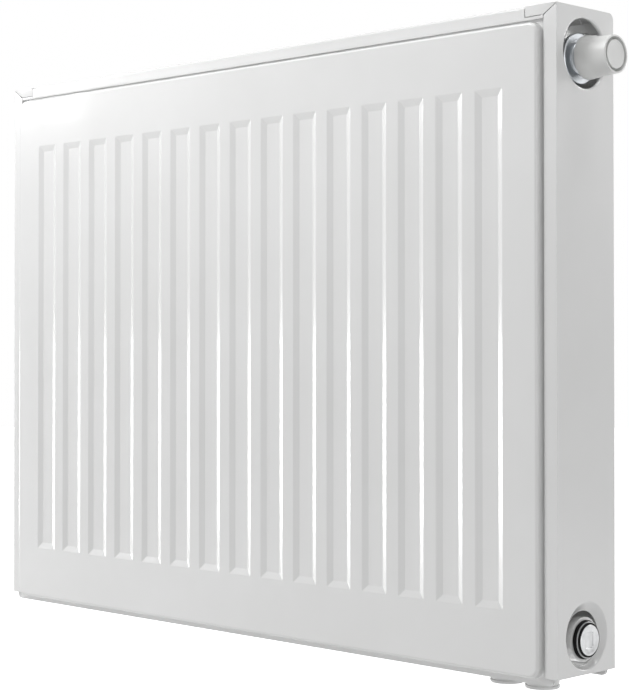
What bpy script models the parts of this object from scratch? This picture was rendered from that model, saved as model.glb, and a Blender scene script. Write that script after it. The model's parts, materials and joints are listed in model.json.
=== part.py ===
"""Steel panel radiator with two panels, two convectors and an integrated valve.

Metres, +Z up. X runs along the length with the valve at +X, Y runs from the
room (-Y) to the wall (+Y). The origin is the middle of the bounding box's
bottom: under the connection sockets, halfway along and halfway through.
"""

import math

import bmesh
import bpy
from mathutils import Matrix, Vector

# Overall sizes
LENGTH = 0.800  # over the two side covers
HEIGHT = 0.600  # from the panels' bottom edge to the top of the side covers
COVER_DEPTH = 0.085  # side cover, front flange to rear flange
FACE_PROUD = 0.0065  # each panel's face ahead of the flange beside it
PANEL_DROP = 0.007  # panels hang lower than the side covers
SOCKET_DROP = 0.0108  # sockets reach below the panels
CAP_REACH = 0.0332  # end of the valve cap beyond the right side cover
LUG_STANDOFF = 0.012  # hanging lugs behind the rear panel's face

# Fits
GAP = 0.0003  # between pieces that touch
THREAD_GAP = 0.0004  # between the cap's thread and the insert's
MERGE = 2e-6  # vertices this close are one vertex
OVERCUT = 0.001  # a cutter runs past the face that it opens
THROUGH = 0.01  # half the length of a cutter through a wall
EDGE = 0.0003  # small broken edge

# Pressed panels
SHEET = 0.00125
SEAM_SIDE = 0.0065  # seam's end to the side cover's outer face
SEAM_TOP = 0.0065  # seam's top below the side cover's top
SEAM_CORNER = 0.005
PAN_SIDE = 0.0165  # foot of the pressed face to the side cover's outer face
PAN_BOTTOM = 0.0055  # foot of the pressed face to the panel's bottom edge
PAN_TOP = 0.0150  # foot of the pressed face to the side cover's top
PAN_CORNER = 0.011
PAN_DRAFT = 0.0008
PAN_ROUND = 0.0028
INNER_HEIGHT = 0.0056  # inner sheet's waterways stand off its seam by this
FLUTE_PITCH = 0.0469
FLUTE_WIDTH = 0.0318
FLUTE_WALL = 0.0066
FLUTE_DEPTH = 0.0025
FLUTE_BOTTOM = 0.0631  # lower rim above the panel's bottom edge
FLUTE_TOP = 0.0706  # upper rim below the side cover's top
FLUTE_END = 0.050  # least distance from a flute to the side cover's outer face

# Convectors
FIN_SHEET = 0.0006
FIN_FOOT = 0.013
FIN_FLARE = 0.0035
FIN_SPACE = 0.0075  # open duct between the two convectors
FIN_LOW = 0.055  # above the panel's bottom edge
FIN_HIGH = 0.062  # below the side cover's top

# Side covers and top grille
COVER_SHEET = 0.001
COVER_BEND = 0.0025
COVER_FLANGE = 0.014
COVER_REAR_CORNER = 0.007
TAB_LENGTH = 0.0345
TAB_HEIGHT = 0.0093
MITRE_SLIT = 0.0005
GRILLE_SHEET = 0.0008
GRILLE_LIP = 0.012
SLOT_WIDTH = 0.0075
SLOT_PITCH = 0.0125
SLOT_EDGE = 0.011  # slot's end to the grille's outer edge, front and rear
SLOT_END = 0.012  # first slot to the end of the side cover's top

# Corner fittings between the panels
FITTING_X = 0.0495  # fitting's centre to the side cover's outer face
LOWER_Z = 0.0375  # lower fittings above the panel's bottom edge
UPPER_Z = 0.045  # upper fittings below the side cover's top
TUBE_R = 0.018
TUBE_BORE = 0.0115
PORT_R = 0.009
BOSS_R = 0.020
BOSS_BORE = 0.0093
BOSS_SETBACK = 0.0032
BORE_LAP = 0.003  # how far short of the fitting's centre a side bore ends
VALVE_BOSS_SETBACK = 0.010
OPENING_LIFT = 0.0042  # upper cover openings sit this far above the bosses
DISH_LIFT = 0.0008  # and the dishes round the plugs this far
VALVE_OPENING_R = 0.03125
DISH_R = 0.0295
DISH_DEPTH = 0.006
DISH_CLEAR = 0.0035
DISH_FLOOR = 0.0012  # flat ring round the dish's hole
DISH_WALL = 0.0006
DISH_CURL = 0.0004

# Connections underneath
SOCKET_PITCH = 0.0405  # supply socket's axis to the return socket's
SOCKET_R = 0.016
SOCKET_BODY_R = 0.0156
SOCKET_GROOVE_R = 0.0147
SOCKET_RIM = 0.0028
SOCKET_GROOVE = 0.0012
SOCKET_BORE = 0.01205  # minor radius of a G 3/4 pipe thread
SOCKET_THREAD = 0.0158
SOCKET_HEIGHT = 0.0235
NECK_R = 0.013
NECK_BORE = 0.008
BRIDGE_SHEET = 0.003
BRIDGE_EDGE = 0.006
BRIDGE_CORNER = 0.006
RISER_R = 0.0075
RISER_WALL = 0.001
RISER_BEND = 0.016

# Valve
INLET_R = 0.012
INLET_REACH = 0.0235  # from the fitting's centre to the inlet's end
SEAT_CHAMBER_R = 0.009
SEAT_DEPTH = 0.0135  # seat chamber's floor beyond the fitting's centre
SEAT_R = 0.0055
SEAT_RING = 0.002
INSERT_R = 0.013
INSERT_REACH = 0.026
INSERT_COLLAR_R = 0.023
INSERT_COLLAR = 0.004
INSERT_THREAD_R = 0.01475
INSERT_NOSE = 0.010  # threaded neck beyond the side cover's outer face
INSERT_BORE = 0.007
INSERT_FLOOR = 0.002
DISC_R = 0.0075
DISC_THICK = 0.003
DISC_HOLDER_R = 0.0065
DISC_HOLDER = 0.0015
SPINDLE_R = 0.002
SPINDLE_REACH = 0.0193
SPINDLE_COLLAR_R = 0.0055
SPINDLE_COLLAR = 0.0015
SPINDLE_COLLAR_X = -0.001
VALVE_TRAVEL = 0.002
SPRING_R = 0.0046
SPRING_WIRE = 0.0006
SPRING_TURNS = 5
GLAND_R = 0.008
GLAND_HEAD = 0.0047
GLAND_SPIGOT = 0.0048
GLAND_SEAL = 0.0014

# Valve cap
CAP_BASE_X = 0.0017
CAP_BASE_R = 0.0197
CAP_BAND = 0.0038
CAP_STEP_X = 0.014
CAP_STEP_R = 0.0184
CAP_END_R = 0.0171
CAP_ROUND = 0.0012
CAP_RIM = 0.0016
CAP_RECESS = 0.0065
CAP_FLOOR = 0.003
PUSHER_R = 0.0129
PUSHER_STEM_R = 0.003
PUSHER_BACK = 0.0003  # pusher's face behind the cap's rim

# Plugs and vent
PLUG_R = 0.0136
PLUG_REACH = 0.0034
PLUG_FACE = 0.0006
PLUG_NECK_R = 0.0118
PLUG_SHANK = 0.013
PLUG_SEAL = 0.0006
PLUG_SEAL_R = 0.0155
PLUG_COLLAR = 0.0015
PLUG_COLLAR_R = 0.0162
PLUG_BASE_SEAL_R = 0.0173
PLUG_CHAMFER = EDGE
PLUG_RIM = 0.0032
PLUG_HOLLOW = 0.0003
VENT_SCREW_R = 0.003
VENT_SCREW_REACH = 0.0025
VENT_SCREW_DEPTH = 0.009
VENT_SLOT = 0.0012
VENT_SLOT_DEPTH = 0.0015

# Hanging lugs
LUG_WIDTH = 0.030
LUG_HEIGHT = 0.070
LUG_SHEET = 0.0025
LUG_FOOT = 0.014
LUG_SIDE = 0.150  # lug's centre to the side cover's outer face
LUG_LOW = 0.105  # lower lug's centre above the panel's bottom edge
LUG_HIGH = 0.105  # upper lug's centre below the side cover's top

# Places worked out from the sizes
RIGHT = (LENGTH + PLUG_REACH + VENT_SCREW_REACH - CAP_REACH) / 2
LEFT = RIGHT - LENGTH
MIDDLE_X = (LEFT + RIGHT) / 2
FRONT = -(2 * FACE_PROUD + COVER_DEPTH + LUG_STANDOFF) / 2 + FACE_PROUD
MIDDLE_Y = FRONT + COVER_DEPTH / 2
BOTTOM = SOCKET_DROP
TOP = BOTTOM + HEIGHT
COVER_BOTTOM = BOTTOM + PANEL_DROP
SEAM_DEPTH = COVER_SHEET + GRILLE_SHEET + 2 * GAP
INNER_SEAM = SEAM_DEPTH + 2 * SHEET + GAP
INNER_FACE = INNER_SEAM + INNER_HEIGHT  # waterways' back, behind the flange plane
LOWER_AXIS = BOTTOM + LOWER_Z
UPPER_AXIS = TOP - UPPER_Z
RETURN_AXIS_X = RIGHT - FITTING_X
SUPPLY_AXIS_X = RETURN_AXIS_X - SOCKET_PITCH
FLUTE_COUNT = int((LENGTH - 2 * FLUTE_END - FLUTE_WIDTH) / FLUTE_PITCH) + 1
FLUTE_FIRST = MIDDLE_X - (FLUTE_COUNT - 1) * FLUTE_PITCH / 2


def clear_scene():
    for old in list(bpy.data.objects):
        bpy.data.objects.remove(old, do_unlink=True)


def add_material(name, colour, roughness, metallic=0.0):
    material = bpy.data.materials.new(name)
    material.use_nodes = True
    shader = material.node_tree.nodes["Principled BSDF"]
    shader.inputs["Base Color"].default_value = (*colour, 1.0)
    shader.inputs["Roughness"].default_value = roughness
    shader.inputs["Metallic"].default_value = metallic
    return material


def add_object(name, bm, finish, smooth=math.radians(35)):
    """Turns a bmesh into a named object with its own material."""
    bmesh.ops.recalc_face_normals(bm, faces=bm.faces)
    mesh = bpy.data.meshes.new(name)
    bm.to_mesh(mesh)
    bm.free()
    mesh.shade_smooth()
    mesh.set_sharp_from_angle(angle=smooth)
    mesh.materials.append(add_material(name, *finish))
    part = bpy.data.objects.new(name, mesh)
    bpy.context.collection.objects.link(part)
    return part


def add_cutter(name, bm):
    cutter = add_object(name, bm, HIDDEN)
    cutter.hide_render = True
    cutter.display_type = "WIRE"
    return cutter


def combine(part, other, operation, crossing=False):
    """Joins or cuts; crossing is for a mesh made of solids that run into each other."""
    change = part.modifiers.new(other.name, "BOOLEAN")
    change.operation = operation
    change.object = other
    change.solver = "EXACT"
    change.use_self = crossing


def box_mesh(low, high, bm=None):
    bm = bm or bmesh.new()
    size = Vector(high) - Vector(low)
    middle = (Vector(high) + Vector(low)) / 2
    place = Matrix.Translation(middle) @ Matrix.Diagonal((*size, 1.0))
    bmesh.ops.create_cube(bm, size=1.0, matrix=place)
    return bm


def prism_mesh(outline, start, end, axis, bm=None):
    """A prism: the outline's points (u, v) run from start to end along the axis."""
    place = {
        "X": lambda u, v, along: (along, u, v),
        "Y": lambda u, v, along: (u, along, v),
        "Z": lambda u, v, along: (u, v, along),
    }[axis]
    bm = bm or bmesh.new()
    loop = [bm.verts.new(place(u, v, start)) for u, v in outline]
    face = bm.faces.new(loop)
    grown = bmesh.ops.extrude_face_region(bm, geom=[face])
    moved = [v for v in grown["geom"] if isinstance(v, bmesh.types.BMVert)]
    step = Vector(place(0, 0, end)) - Vector(place(0, 0, start))
    bmesh.ops.translate(bm, verts=moved, vec=step)
    return bm


def turned_mesh(profile, centre, axis, sides=24, bm=None):
    """Spins a closed profile of (along, radius) points about an axis through centre.

    A profile that ends on the axis leaves out the last edge, so the solid is full.
    """
    bm = bm or bmesh.new()
    outward = {"X": (1, 0, 0), "Y": (0, 1, 0), "Z": (0, 0, 1)}[axis]
    half_side = math.pi / sides
    aside = (math.cos(half_side), math.sin(half_side), 0)
    radial = {"X": (0, 0, 1), "Y": (0, 0, 1), "Z": aside}[axis]
    points = [
        Vector(centre) + Vector(outward) * along + Vector(radial) * radius
        for along, radius in profile
    ]
    verts = [bm.verts.new(p) for p in points]
    hollow = min(radius for _, radius in profile) > 0
    pairs = list(zip(verts, verts[1:])) + ([(verts[-1], verts[0])] if hollow else [])
    edges = [bm.edges.new(pair) for pair in pairs]
    bmesh.ops.spin(
        bm,
        geom=verts + edges,
        cent=centre,
        axis=outward,
        angle=2 * math.pi,
        steps=sides,
        use_merge=True,
    )
    bmesh.ops.remove_doubles(bm, verts=bm.verts, dist=MERGE)
    return bm


def rounded(low_u, high_u, low_v, high_v, radius, steps=4):
    """A rectangle's outline with round corners, from the lower left, anticlockwise."""
    corners = (
        (low_u + radius, low_v + radius, 180),
        (high_u - radius, low_v + radius, 270),
        (high_u - radius, high_v - radius, 0),
        (low_u + radius, high_v - radius, 90),
    )
    points = []
    for u, v, start in corners:
        for i in range(steps + 1):
            turn = math.radians(start + 90 * i / steps)
            points.append((u + radius * math.cos(turn), v + radius * math.sin(turn)))
    return points


def loft_mesh(loops):
    """A solid through loops of equal length, each ((x, z) points, y), capped at both ends."""
    bm = bmesh.new()
    rows = [[bm.verts.new((x, y, z)) for x, z in points] for points, y in loops]
    for near, far in zip(rows, rows[1:]):
        for i in range(len(near)):
            j = (i + 1) % len(near)
            bm.faces.new((near[i], near[j], far[j], far[i]))
    bm.faces.new(rows[0])
    bm.faces.new(rows[-1])
    return bm


def pyramids_mesh(centres, width, low, high, wall, base_y, tip_y):
    """Truncated pyramids, one at each X centre, wide at base_y and a wall narrower at tip_y."""
    bm = bmesh.new()
    for x in centres:
        rims = []
        for shrink, y in ((0.0, base_y), (wall, tip_y)):
            half = width / 2 - shrink
            corners = (
                (x - half, low + shrink),
                (x + half, low + shrink),
                (x + half, high - shrink),
                (x - half, high - shrink),
            )
            rims.append([bm.verts.new((u, y, v)) for u, v in corners])
        bm.faces.new(rims[0])
        bm.faces.new(rims[1])
        for i in range(4):
            j = (i + 1) % 4
            bm.faces.new((rims[0][i], rims[0][j], rims[1][j], rims[1][i]))
    return bm


def flute_centres():
    return [FLUTE_FIRST + i * FLUTE_PITCH for i in range(FLUTE_COUNT)]


def pressed_sheet(name, finish, seam, height, depth, outward, ports):
    """One pressed sheet of a panel.

    seam is the seam's outer plane, height the face's distance from it, depth the
    flutes' depth, and outward -1 for a face towards the room and +1 towards the wall.
    """
    seam_box = (LEFT + SEAM_SIDE, RIGHT - SEAM_SIDE, BOTTOM, TOP - SEAM_TOP)
    foot_box = (LEFT + PAN_SIDE, RIGHT - PAN_SIDE, BOTTOM + PAN_BOTTOM, TOP - PAN_TOP)

    def ring(frame, inset, radius, rise):
        low_x, high_x, low_z, high_z = frame
        points = rounded(low_x + inset, high_x - inset, low_z + inset, high_z - inset, radius)
        return points, seam + outward * rise

    walls = (
        (0.0, 0.0),
        (PAN_DRAFT, height - PAN_ROUND),
        (PAN_DRAFT + 0.3 * PAN_ROUND, height - 0.3 * PAN_ROUND),
        (PAN_DRAFT + PAN_ROUND, height),
    )
    face = [ring(foot_box, inset, PAN_CORNER - inset, rise) for inset, rise in reversed(walls)]
    back = [ring(foot_box, inset + SHEET, PAN_CORNER - inset - SHEET, rise - SHEET) for inset, rise in walls]
    rim = [ring(seam_box, 0.0, SEAM_CORNER, 0.0), ring(seam_box, 0.0, SEAM_CORNER, -SHEET)]
    sheet = add_object(name, loft_mesh(face + rim + back), finish)

    low, high = BOTTOM + FLUTE_BOTTOM, TOP - FLUTE_TOP
    top = seam + outward * height
    grow = SHEET / 2
    backing = pyramids_mesh(
        flute_centres(),
        FLUTE_WIDTH + 2 * grow,
        low - grow,
        high + grow,
        FLUTE_WALL,
        top - outward * SHEET / 2,
        top - outward * (depth + SHEET),
    )
    combine(sheet, add_cutter(name + "_backing", backing), "UNION")
    slope = FLUTE_WALL / depth
    ahead = OVERCUT
    flutes = pyramids_mesh(
        flute_centres(),
        FLUTE_WIDTH + 2 * ahead * slope,
        low - ahead * slope,
        high + ahead * slope,
        FLUTE_WALL + ahead * slope,
        top + outward * ahead,
        top - outward * depth,
    )
    combine(sheet, add_cutter(name + "_flutes", flutes), "DIFFERENCE")
    for i, (x, z) in enumerate(ports):
        port = turned_mesh(
            ((-0.02, 0), (-0.02, PORT_R), (0.02, PORT_R), (0.02, 0)), (x, top, z), "Y", 16
        )
        combine(sheet, add_cutter(f"{name}_port_{i + 1}", port), "DIFFERENCE")
    return sheet


def fitting_places():
    """The four corner fittings' centres: (x, z)."""
    left = LEFT + FITTING_X
    return {
        "upper_right": (RETURN_AXIS_X, UPPER_AXIS),
        "lower_right": (RETURN_AXIS_X, LOWER_AXIS),
        "upper_left": (left, UPPER_AXIS),
        "lower_left": (left, LOWER_AXIS),
    }


def panels():
    ports = list(fitting_places().values())
    rear = 2 * MIDDLE_Y
    front_seam = FRONT + SEAM_DEPTH
    inner_seam = FRONT + INNER_SEAM
    floor = FRONT - FACE_PROUD + FLUTE_DEPTH + SHEET + GAP
    inner_depth = FRONT + INNER_FACE - floor - SHEET
    outer_height = FACE_PROUD + SEAM_DEPTH
    pressed_sheet("front_sheet", WHITE, front_seam, outer_height, FLUTE_DEPTH, -1, ())
    pressed_sheet("front_inner_sheet", WHITE, inner_seam, INNER_HEIGHT, inner_depth, 1, ports)
    pressed_sheet("rear_inner_sheet", WHITE, rear - inner_seam, INNER_HEIGHT, inner_depth, -1, ports)
    pressed_sheet("rear_sheet", WHITE, rear - front_seam, outer_height, FLUTE_DEPTH, 1, ())


def convector(name, outward):
    """A corrugated sheet whose feet stand on the waterways between the flutes."""
    inner = FRONT + INNER_FACE + GAP + FIN_SHEET / 2
    foot = inner if outward < 0 else 2 * MIDDLE_Y - inner
    tip = MIDDLE_Y + outward * (FIN_SPACE + FIN_SHEET) / 2
    feet = [x + FLUTE_PITCH / 2 for x in flute_centres()[:-1]]
    feet = [x for x in feet if LEFT + FITTING_X + SOCKET_PITCH < x - FLUTE_PITCH / 2]
    feet = [x for x in feet if x + FLUTE_PITCH / 2 < SUPPLY_AXIS_X - RISER_R]
    path = []
    for x in feet:
        path += [
            (x - FLUTE_PITCH / 2, tip),
            (x - FIN_FOOT / 2 - FIN_FLARE, tip),
            (x - FIN_FOOT / 2, foot),
            (x + FIN_FOOT / 2, foot),
            (x + FIN_FOOT / 2 + FIN_FLARE, tip),
        ]
    path.append((feet[-1] + FLUTE_PITCH / 2, tip))
    bm = bmesh.new()
    verts = [bm.verts.new((x, y, BOTTOM + FIN_LOW)) for x, y in path]
    edges = [bm.edges.new(pair) for pair in zip(verts, verts[1:])]
    grown = bmesh.ops.extrude_edge_only(bm, edges=edges)
    moved = [v for v in grown["geom"] if isinstance(v, bmesh.types.BMVert)]
    bmesh.ops.translate(bm, verts=moved, vec=(0, 0, HEIGHT - FIN_LOW - FIN_HIGH))
    fins = add_object(name, bm, WHITE)
    wall = fins.modifiers.new("wall", "SOLIDIFY")
    wall.thickness = FIN_SHEET
    wall.use_even_offset = True
    wall.offset = 0.0
    return fins


def channel(low, high, low_bend, high_bend, sheet, flange, open_side):
    """A C profile: web with two flanges and round bends, as (u, v) points.

    The web lies along v from low to high at u = 0, the flanges run towards open_side.
    """
    def arc(centre_u, centre_v, radius, start, steps=4):
        points = []
        for i in range(steps + 1):
            turn = math.radians(start + 90 * i / steps)
            u = centre_u - radius * math.cos(turn)
            points.append((open_side * u, centre_v + radius * math.sin(turn)))
        return points

    def line(inset):
        lower = arc(low_bend, low + low_bend, low_bend - inset, -90)
        upper = arc(high_bend, high - high_bend, high_bend - inset, 0)
        start = (open_side * flange, low + inset)
        end = (open_side * flange, high - inset)
        return [start, *lower, *upper, end]

    return line(0.0) + line(sheet)[::-1]


def side_cover(name, face, inward):
    """A folded cover over one end; face is its outer plane, inward +1 or -1 along X."""
    back = FRONT + COVER_DEPTH
    bend, sheet = COVER_BEND, COVER_SHEET
    fold = channel(FRONT, back, bend, bend, sheet, COVER_FLANGE, inward)
    web = [(face + u, v) for u, v in fold]
    cover = add_object(name, prism_mesh(web, COVER_BOTTOM, TOP - GAP, "Z"), WHITE)

    # Seen from the end, the rear top corner is round.
    radius = COVER_REAR_CORNER + GAP
    corner = [(back - radius, TOP + OVERCUT)]
    for i in range(7):
        turn = math.radians(15 * i)
        u = back - radius - GAP + radius * math.sin(turn)
        corner.append((u, TOP - radius - GAP + radius * math.cos(turn)))
    corner += [(back + OVERCUT, TOP - radius - GAP), (back + OVERCUT, TOP + OVERCUT)]
    reach = (face - inward * OVERCUT, face + inward * (COVER_FLANGE + OVERCUT))
    rounding = add_cutter(name + "_corner", prism_mesh(corner, *reach, "X"))
    combine(cover, rounding, "DIFFERENCE")

    # The top is folded over the grille's end, with a tab down its front and rear lips,
    # and a dish around the plug is pressed inwards: a cone wall with a hole in its floor.
    fold = channel(FRONT, back, bend, COVER_REAR_CORNER, sheet, TAB_HEIGHT, 1)
    cross = [(v, TOP - u) for u, v in fold]
    added = prism_mesh(cross, face + inward * sheet / 2, face + inward * TAB_LENGTH, "X")
    hole_r = BOSS_R + DISH_LIFT + DISH_CLEAR
    depth = DISH_DEPTH
    plug_centre = (face, MIDDLE_Y, LOWER_AXIS + DISH_LIFT)
    cone = [(sheet / 2, DISH_R), (depth, hole_r + DISH_FLOOR), (depth, hole_r), (sheet / 2, hole_r)]
    turned_mesh([(inward * a, r) for a, r in cone], plug_centre, "X", 40, added)
    combine(cover, add_cutter(name + "_folds", added), "UNION", crossing=True)

    # Slits on the mitre line part each tab from the flange beside it.
    near = Vector((face + inward * (bend + sheet), 0, TOP - bend))
    far = Vector((face + inward * (COVER_FLANGE + EDGE), 0, TOP - TAB_HEIGHT - EDGE))
    across = Vector((near.z - far.z, 0, far.x - near.x)).normalized() * MITRE_SLIT / 2
    slit = [(c.x, c.z) for c in (near + across, near - across, far - across, far + across)]
    cuts = bmesh.new()
    for y in (FRONT, back):
        prism_mesh(slit, y - 1.5 * sheet, y + 1.5 * sheet, "Y", cuts)

    # Round opening for the valve or the vent, and the dish's hollow.
    wide = VALVE_OPENING_R
    opening = ((-THROUGH, 0), (-THROUGH, wide), (THROUGH, wide), (THROUGH, 0))
    turned_mesh(opening, (face, MIDDLE_Y, UPPER_AXIS + OPENING_LIFT), "X", 40, cuts)
    hollow = [
        (-OVERCUT, 0),
        (-OVERCUT, DISH_R - DISH_WALL),
        (0, DISH_R - DISH_WALL),
        (depth - sheet, hole_r + DISH_CURL),
        (depth + OVERCUT, hole_r + DISH_CURL),
        (depth + OVERCUT, 0),
    ]
    turned_mesh([(inward * a, r) for a, r in hollow], plug_centre, "X", 40, cuts)
    combine(cover, add_cutter(name + "_cuts", cuts), "DIFFERENCE")
    return cover


def top_grille():
    """A folded top with a row of slots across it."""
    inset = COVER_SHEET + GAP
    front, back = FRONT + inset, FRONT + COVER_DEPTH - inset
    bend = COVER_BEND - COVER_SHEET
    rear_bend = COVER_REAR_CORNER - COVER_SHEET
    fold = channel(front, back, bend, rear_bend, GRILLE_SHEET, GRILLE_LIP - inset, 1)
    cross = [(v, TOP - inset - u) for u, v in fold]
    end = COVER_BEND + GAP
    grille = add_object("top_grille", prism_mesh(cross, LEFT + end, RIGHT - end, "X"), WHITE)
    room = LENGTH - 2 * (TAB_LENGTH + SLOT_END)
    count = int((room - SLOT_WIDTH) / SLOT_PITCH) + 1
    first = MIDDLE_X - (count - 1) * SLOT_PITCH / 2
    slots = bmesh.new()
    for i in range(count):
        x = first + i * SLOT_PITCH
        low = (x - SLOT_WIDTH / 2, FRONT + SLOT_EDGE, TOP - 0.01)
        high = (x + SLOT_WIDTH / 2, FRONT + COVER_DEPTH - SLOT_EDGE, TOP + 0.01)
        box_mesh(low, high, slots)
    combine(grille, add_cutter("top_grille_slots", slots), "DIFFERENCE")
    return grille


def cylinder(name, centre, axis, start, end, radius, sides=24):
    profile = ((start, 0), (start, radius), (end, radius), (end, 0))
    return add_cutter(name, turned_mesh(profile, centre, axis, sides))


def cylinders_mesh(centre, cylinders, sides):
    bm = bmesh.new()
    for axis, start, end, radius in cylinders:
        turned_mesh(((start, 0), (start, radius), (end, radius), (end, 0)), centre, axis, sides, bm)
    return bm


def tee(name, place, side, setback, boss_bore, boss_depth, joins=(), bores=()):
    """A tube between the panels with a boss towards the side cover.

    side is +1 at the right end and -1 at the left. joins and bores hold more
    cylinders to add and to cut, each (axis, start, end, radius).
    """
    x, z = place
    centre = (x, MIDDLE_Y, z)
    half = COVER_DEPTH / 2 - INNER_FACE - GAP
    reach = side * (FITTING_X - setback)
    floor = reach - side * boss_depth
    tube = ("Y", -half, half, TUBE_R)
    boss = ("X", 0, reach, BOSS_R)
    fitting = add_object(name, cylinders_mesh(centre, (tube, boss, *joins), 20), WHITE)
    tube_bore = ("Y", -half - OVERCUT, half + OVERCUT, TUBE_BORE)
    mouth = ("X", floor, reach + side * OVERCUT, boss_bore)
    cutter = add_cutter(name + "_bores", cylinders_mesh(centre, (tube_bore, mouth, *bores), 16))
    combine(fitting, cutter, "DIFFERENCE", crossing=True)
    return fitting


def fittings():
    places = fitting_places()
    plain = FITTING_X - BOSS_SETBACK - BORE_LAP
    for corner in ("upper_left", "lower_left"):
        tee(corner + "_tee", places[corner], -1, BOSS_SETBACK, BOSS_BORE, plain)

    # The lower right tee also has a neck down to the return socket.
    foot = BOTTOM - SOCKET_DROP + SOCKET_HEIGHT + GAP - places["lower_right"][1]
    neck = ("Z", foot, -TUBE_BORE / 2, NECK_R)
    neck_bore = ("Z", foot - OVERCUT, -BORE_LAP, NECK_BORE)
    tee(
        "return_cross",
        places["lower_right"],
        1,
        BOSS_SETBACK,
        BOSS_BORE,
        plain,
        (neck,),
        (neck_bore,),
    )

    # The upper right one is the valve housing, with an inlet and a seat chamber.
    depth = FITTING_X - VALVE_BOSS_SETBACK - INSERT_REACH
    inlet = ("X", -INLET_REACH, 0, INLET_R)
    chamber = ("X", -SEAT_DEPTH, depth + OVERCUT, SEAT_CHAMBER_R)
    inlet_bore = ("X", -INLET_REACH - OVERCUT, 0, RISER_R - RISER_WALL)
    tee(
        "valve_housing",
        places["upper_right"],
        1,
        VALVE_BOSS_SETBACK,
        INSERT_R,
        INSERT_REACH,
        (inlet,),
        (chamber, inlet_bore),
    )


def socket(name, x, upper_bore):
    """A threaded connection socket with a rim; its mouth is down at Z = 0."""
    top = SOCKET_HEIGHT
    groove = SOCKET_RIM + SOCKET_GROOVE
    profile = (
        (0, SOCKET_BORE),
        (0, SOCKET_R),
        (SOCKET_RIM, SOCKET_R),
        (SOCKET_RIM, SOCKET_GROOVE_R),
        (groove, SOCKET_GROOVE_R),
        (groove, SOCKET_BODY_R),
        (top, SOCKET_BODY_R),
        (top, upper_bore),
        (SOCKET_THREAD, upper_bore),
        (SOCKET_THREAD, SOCKET_BORE),
    )
    place = (x, MIDDLE_Y, BOTTOM - SOCKET_DROP)
    return add_object(name, turned_mesh(profile, place, "Z", 28), WHITE)


def connections():
    socket("return_socket", RETURN_AXIS_X, NECK_BORE)
    socket("supply_socket", SUPPLY_AXIS_X, RISER_R - RISER_WALL)

    # A plate round both sockets holds them at their spacing.
    half_y = SOCKET_BODY_R + BRIDGE_EDGE
    low_z = BOTTOM - SOCKET_DROP + SOCKET_THREAD
    low_x = SUPPLY_AXIS_X - SOCKET_BODY_R - BRIDGE_EDGE
    high_x = RETURN_AXIS_X + SOCKET_BODY_R + BRIDGE_EDGE
    outline = rounded(low_x, high_x, MIDDLE_Y - half_y, MIDDLE_Y + half_y, BRIDGE_CORNER)
    bridge = add_object("socket_bridge", prism_mesh(outline, low_z, low_z + BRIDGE_SHEET, "Z"), WHITE)
    for label, x in (("return", RETURN_AXIS_X), ("supply", SUPPLY_AXIS_X)):
        place = (x, MIDDLE_Y, low_z)
        hole = cylinder(f"bridge_{label}_hole", place, "Z", -THROUGH, THROUGH, SOCKET_BODY_R + GAP, 32)
        combine(bridge, hole, "DIFFERENCE")

    # Riser: up from the supply socket, then round into the valve's inlet.
    start = BOTTOM - SOCKET_DROP + SOCKET_HEIGHT + GAP
    end_x = RETURN_AXIS_X - INLET_REACH - GAP
    turn_x, turn_z = SUPPLY_AXIS_X + RISER_BEND, UPPER_AXIS - RISER_BEND
    points = [(SUPPLY_AXIS_X, start)]
    for i in range(9):
        angle = math.radians(90 * i / 8)
        points.append((turn_x - RISER_BEND * math.cos(angle), turn_z + RISER_BEND * math.sin(angle)))
    points.append((end_x, UPPER_AXIS))
    curve = bpy.data.curves.new("riser_pipe", "CURVE")
    curve.dimensions = "3D"
    curve.bevel_depth = RISER_R - RISER_WALL / 2
    curve.bevel_resolution = 3
    spline = curve.splines.new("POLY")
    spline.points.add(len(points) - 1)
    for point, (x, z) in zip(spline.points, points):
        point.co = (x, MIDDLE_Y, z, 1)
    curve.materials.append(add_material("riser_pipe", *WHITE))
    pipe = bpy.data.objects.new("riser_pipe", curve)
    bpy.context.collection.objects.link(pipe)
    wall = pipe.modifiers.new("wall", "SOLIDIFY")
    wall.thickness = RISER_WALL
    wall.offset = 0.0
    return pipe


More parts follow.
